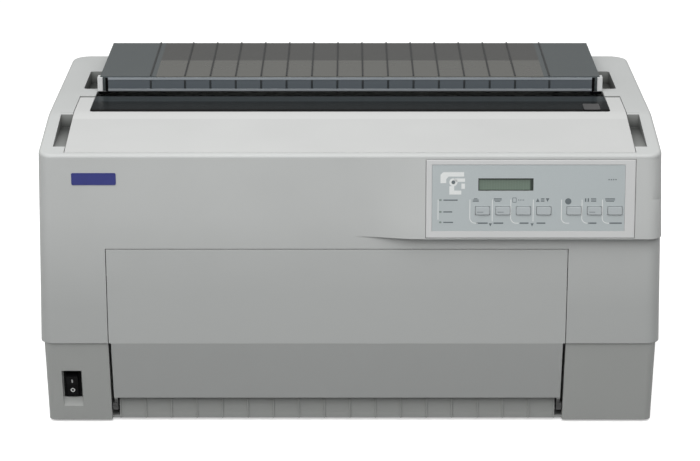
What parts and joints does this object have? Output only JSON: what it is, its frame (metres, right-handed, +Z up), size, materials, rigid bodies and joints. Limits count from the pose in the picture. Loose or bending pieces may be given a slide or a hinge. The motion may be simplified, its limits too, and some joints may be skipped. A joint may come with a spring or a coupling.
{
  "type": "dot matrix printer",
  "caption": "Wide-carriage dot matrix printer with a hinged top cover, ribbed paper guide, drop-down front cover and a tilted control panel.",
  "frame": {"origin": "on the table, under the middle of the printer's box", "axes": "+Z up, the front faces -Y, the control panel is on the +X side"},
  "size_m": [0.712, 0.398, 0.37],
  "materials": {
    "case_abs": "fine moulded texture",
    "cover_abs": "fine moulded texture",
    "lower_abs": "fine moulded texture",
    "smoked": "smoked clear plastic",
    "window": "smoked clear plastic",
    "dark_abs": "moulded",
    "overlay": "printed polyester sheet",
    "display": "liquid crystal display",
    "keycap": "moulded",
    "steel": "zinc-plated sheet and bar",
    "rubber": "moulded",
    "aluminium": "die cast",
    "nylon": "moulded nylon",
    "bronze": "sintered bronze",
    "board": "coated circuit board",
    "ribbon": "inked nylon"
  },
  "bodies": {
    "case": {"upper_case": "case_abs", "lower_case": "lower_abs", "rear_cover": "cover_abs", "hinge_pins": "steel", "entry_strip": "dark_abs", "rubber_feet": "rubber", "base_screws": "steel", "panel_bezel": "lower_abs", "panel_overlay": "overlay", "lcd_module": "display", "panel_board": "board", "switch_frame": "dark_abs", "chassis_tray": "steel", "left_frame": "steel", "right_frame": "steel", "cross_plate": "steel", "guide_rod": "steel", "head_rail": "steel", "carriage_belt": "rubber", "drive_motors": "steel", "platen_bushes": "bronze", "feed_belt": "rubber", "tractor_rod": "steel", "ribbon_cartridge": "dark_abs", "ink_ribbon": "ribbon", "paper_chute": "steel", "main_board": "board", "power_supply": "steel", "mains_inlet": "dark_abs", "port_plate": "steel"},
    "lid": {"top_cover": "cover_abs", "cover_window": "window"},
    "guide": {"paper_guide": "smoked", "tear_bar": "dark_abs", "guide_brackets": "cover_abs"},
    "door": {"front_cover": "cover_abs"},
    "rocker": {"power_rocker": "dark_abs"},
    "carriage": {"carriage": "aluminium", "print_head": "aluminium"},
    "drive_pulley": {"drive_pulley": "aluminium"},
    "idler_pulley": {"idler_pulley": "aluminium"},
    "platen": {"platen": "rubber", "platen_gear": "nylon"},
    "pinion": {"motor_pinion": "nylon"},
    "tractor_shaft": {"tractor_shaft": "steel"},
    "key_pitch": {"key_pitch": "keycap"},
    "key_font": {"key_font": "keycap"},
    "key_tear_off": {"key_tear_off": "keycap"},
    "key_load_eject": {"key_load_eject": "keycap"},
    "key_feed": {"key_feed": "keycap"},
    "key_pause": {"key_pause": "keycap"},
    "key_menu": {"key_menu": "keycap"},
    "tractor_left": {"tractor_left": "dark_abs", "pin_belt_left": "nylon"},
    "sprocket_left": {"sprocket_left": "nylon"},
    "flap_left": {"flap_left": "dark_abs"},
    "tractor_right": {"tractor_right": "dark_abs", "pin_belt_right": "nylon"},
    "sprocket_right": {"sprocket_right": "nylon"},
    "flap_right": {"flap_right": "dark_abs"}
  },
  "joints": [
    {"name": "top_cover_hinge", "type": "hinge", "parent": "case", "child": "lid", "pos_m": [0, -0.0095, 0.3425], "axis": [-1, 0, 0], "range_deg": [0, 70]},
    {"name": "paper_guide_hinge", "type": "hinge", "parent": "case", "child": "guide", "pos_m": [0, 0.184, 0.3585], "axis": [-1, 0, 0], "range_deg": [0, 60]},
    {"name": "front_cover_hinge", "type": "hinge", "parent": "case", "child": "door", "pos_m": [0, -0.162, 0.02], "axis": [1, 0, 0], "range_deg": [0, 80]},
    {"name": "power_rocker_tilt", "type": "hinge", "parent": "case", "child": "rocker", "pos_m": [-0.322, -0.16881, 0.05192], "axis": [-1, 0, 0], "range_deg": [0, 16]},
    {"name": "carriage_slide", "type": "slide", "parent": "case", "child": "carriage", "axis": [1, 0, 0], "range_m": [-0.178, 0.178]},
    {"name": "drive_pulley_spin", "type": "hinge", "parent": "case", "child": "drive_pulley", "pos_m": [0.262, -0.1, 0.2505], "axis": [0, 0, 1], "range_deg": [-930, 930]},
    {"name": "idler_pulley_spin", "type": "hinge", "parent": "case", "child": "idler_pulley", "pos_m": [-0.262, -0.1, 0.2505], "axis": [0, 0, 1], "range_deg": [-930, 930]},
    {"name": "platen_spin", "type": "hinge", "parent": "case", "child": "platen", "pos_m": [0, 0.008, 0.3085], "axis": [1, 0, 0], "continuous": true},
    {"name": "motor_pinion_spin", "type": "hinge", "parent": "case", "child": "pinion", "pos_m": [0, 0.02825, 0.28437], "axis": [1, 0, 0], "continuous": true},
    {"name": "tractor_shaft_spin", "type": "hinge", "parent": "case", "child": "tractor_shaft", "pos_m": [0, -0.115, 0.1565], "axis": [1, 0, 0], "continuous": true},
    {"name": "tractor_left_slide", "type": "slide", "parent": "case", "child": "tractor_left", "axis": [1, 0, 0], "range_m": [-0.045, 0.06]},
    {"name": "sprocket_left_spin", "type": "hinge", "parent": "tractor_left", "child": "sprocket_left", "pos_m": [-0.17, -0.115, 0.1565], "axis": [1, 0, 0], "continuous": true},
    {"name": "flap_left_hinge", "type": "hinge", "parent": "tractor_left", "child": "flap_left", "pos_m": [-0.1845, -0.126, 0.1765], "axis": [0, 0, -1], "range_deg": [0, 110]},
    {"name": "tractor_right_slide", "type": "slide", "parent": "case", "child": "tractor_right", "axis": [1, 0, 0], "range_m": [-0.06, 0.045]},
    {"name": "sprocket_right_spin", "type": "hinge", "parent": "tractor_right", "child": "sprocket_right", "pos_m": [0.17, -0.115, 0.1565], "axis": [1, 0, 0], "continuous": true},
    {"name": "flap_right_hinge", "type": "hinge", "parent": "tractor_right", "child": "flap_right", "pos_m": [0.1845, -0.126, 0.1765], "axis": [0, 0, 1], "range_deg": [0, 110]},
    {"name": "key_pitch_press", "type": "slide", "parent": "case", "child": "key_pitch", "axis": [0, 0.9941, -0.1081], "range_m": [0, 0.001], "stiffness_N_per_m": 400},
    {"name": "key_font_press", "type": "slide", "parent": "case", "child": "key_font", "axis": [0, 0.9941, -0.1081], "range_m": [0, 0.001], "stiffness_N_per_m": 400},
    {"name": "key_tear_off_press", "type": "slide", "parent": "case", "child": "key_tear_off", "axis": [0, 0.9941, -0.1081], "range_m": [0, 0.001], "stiffness_N_per_m": 400},
    {"name": "key_load_eject_press", "type": "slide", "parent": "case", "child": "key_load_eject", "axis": [0, 0.9941, -0.1081], "range_m": [0, 0.001], "stiffness_N_per_m": 400},
    {"name": "key_feed_press", "type": "slide", "parent": "case", "child": "key_feed", "axis": [0, 0.9941, -0.1081], "range_m": [0, 0.001], "stiffness_N_per_m": 400},
    {"name": "key_pause_press", "type": "slide", "parent": "case", "child": "key_pause", "axis": [0, 0.9941, -0.1081], "range_m": [0, 0.001], "stiffness_N_per_m": 400},
    {"name": "key_menu_press", "type": "slide", "parent": "case", "child": "key_menu", "axis": [0, 0.9941, -0.1081], "range_m": [0, 0.001], "stiffness_N_per_m": 400}
  ],
  "couplings": [
    {"joint": "drive_pulley_spin", "follows": "carriage_slide", "rad_per_m": -90.498},
    {"joint": "idler_pulley_spin", "follows": "carriage_slide", "rad_per_m": -90.498},
    {"joint": "motor_pinion_spin", "follows": "platen_spin", "ratio": -2.5},
    {"joint": "tractor_shaft_spin", "follows": "platen_spin", "ratio": 1},
    {"joint": "sprocket_left_spin", "follows": "platen_spin", "ratio": 1},
    {"joint": "sprocket_right_spin", "follows": "platen_spin", "ratio": 1}
  ]
}
